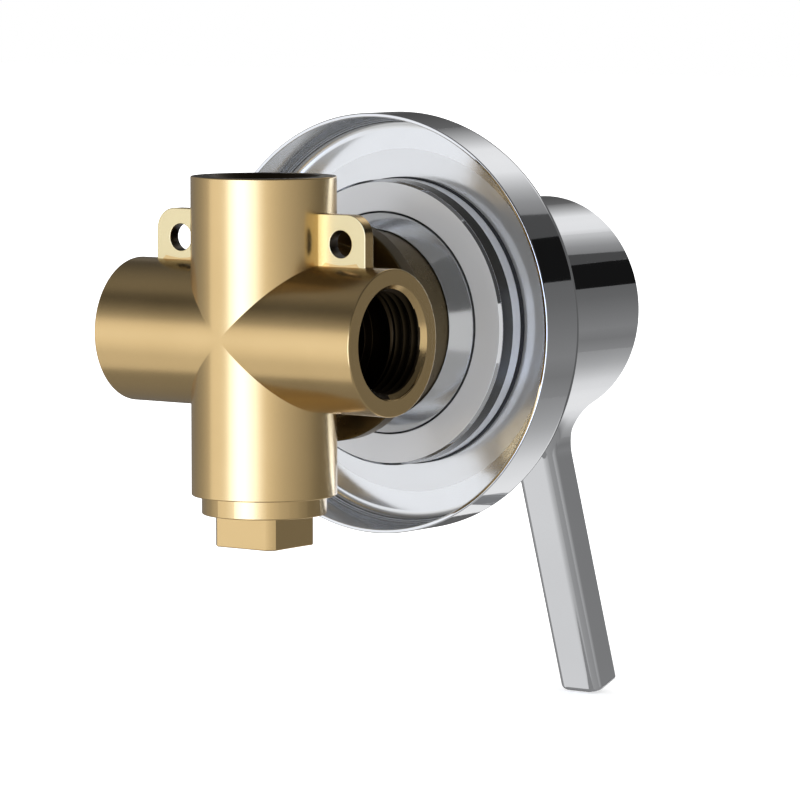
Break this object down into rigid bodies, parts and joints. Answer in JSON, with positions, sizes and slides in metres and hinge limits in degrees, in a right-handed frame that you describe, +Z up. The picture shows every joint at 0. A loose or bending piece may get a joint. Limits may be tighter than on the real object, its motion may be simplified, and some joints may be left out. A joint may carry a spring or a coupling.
{
  "type": "concealed shower mixer",
  "caption": "Single-lever concealed shower mixer: brass cross body for in-wall pipes, chromed sleeve, round wall plate and tilting handle.",
  "frame": {"origin": "centre of the wall plate's rear rim, on the finished wall", "axes": "+Z up, +Y into the wall towards the brass body, +X across to the hot inlet side"},
  "size_m": [0.0802, 0.1246, 0.1197],
  "materials": {
    "satin_brass": "satin, as cast and blasted",
    "turned_brass": "turned",
    "polished_chrome": "polished",
    "steel": "drawn",
    "ceramic": "lapped",
    "cartridge_plastic": "moulded",
    "black_rubber": "matt"
  },
  "bodies": {
    "valve": {"valve_body": "satin_brass", "bottom_plug": "satin_brass", "bottom_plug_seal": "black_rubber", "cartridge_base": "cartridge_plastic", "cartridge_housing": "cartridge_plastic", "fixed_disc": "ceramic", "cartridge_nut": "turned_brass", "sleeve": "polished_chrome", "hot_base_seal": "black_rubber", "cold_base_seal": "black_rubber", "outlet_base_seal": "black_rubber", "hot_disc_seal": "black_rubber", "cold_disc_seal": "black_rubber", "outlet_disc_seal": "black_rubber"},
    "cover": {"wall_plate": "polished_chrome", "plate_collar": "polished_chrome", "plate_gasket": "black_rubber", "plate_seal": "black_rubber"},
    "turret": {"turret": "cartridge_plastic", "turret_seal": "black_rubber", "limit_ring": "cartridge_plastic", "pivot_pin": "steel"},
    "slider": {"disc_carrier": "cartridge_plastic", "moving_disc": "ceramic"},
    "lever": {"handle": "polished_chrome", "spindle": "turned_brass", "grub_screw": "steel", "screw_cap": "polished_chrome"}
  },
  "joints": [
    {"name": "plate_slide", "type": "slide", "parent": "valve", "child": "cover", "axis": [0, -1, 0], "range_m": [-0.0015, 0.003]},
    {"name": "temperature_turn", "type": "hinge", "parent": "valve", "child": "turret", "pos_m": [0, -0.016, 0], "axis": [0, 1, 0], "range_deg": [-45, 45]},
    {"name": "flow_lift", "type": "hinge", "parent": "turret", "child": "lever", "pos_m": [0, -0.016, 0], "axis": [-1, 0, 0], "range_deg": [0, 25]},
    {"name": "disc_slide", "type": "slide", "parent": "turret", "child": "slider", "axis": [0, 0, -1], "range_m": [0, 0.00526]}
  ],
  "couplings": [
    {"joint": "disc_slide", "follows": "flow_lift", "m_per_rad": 0.01201}
  ]
}
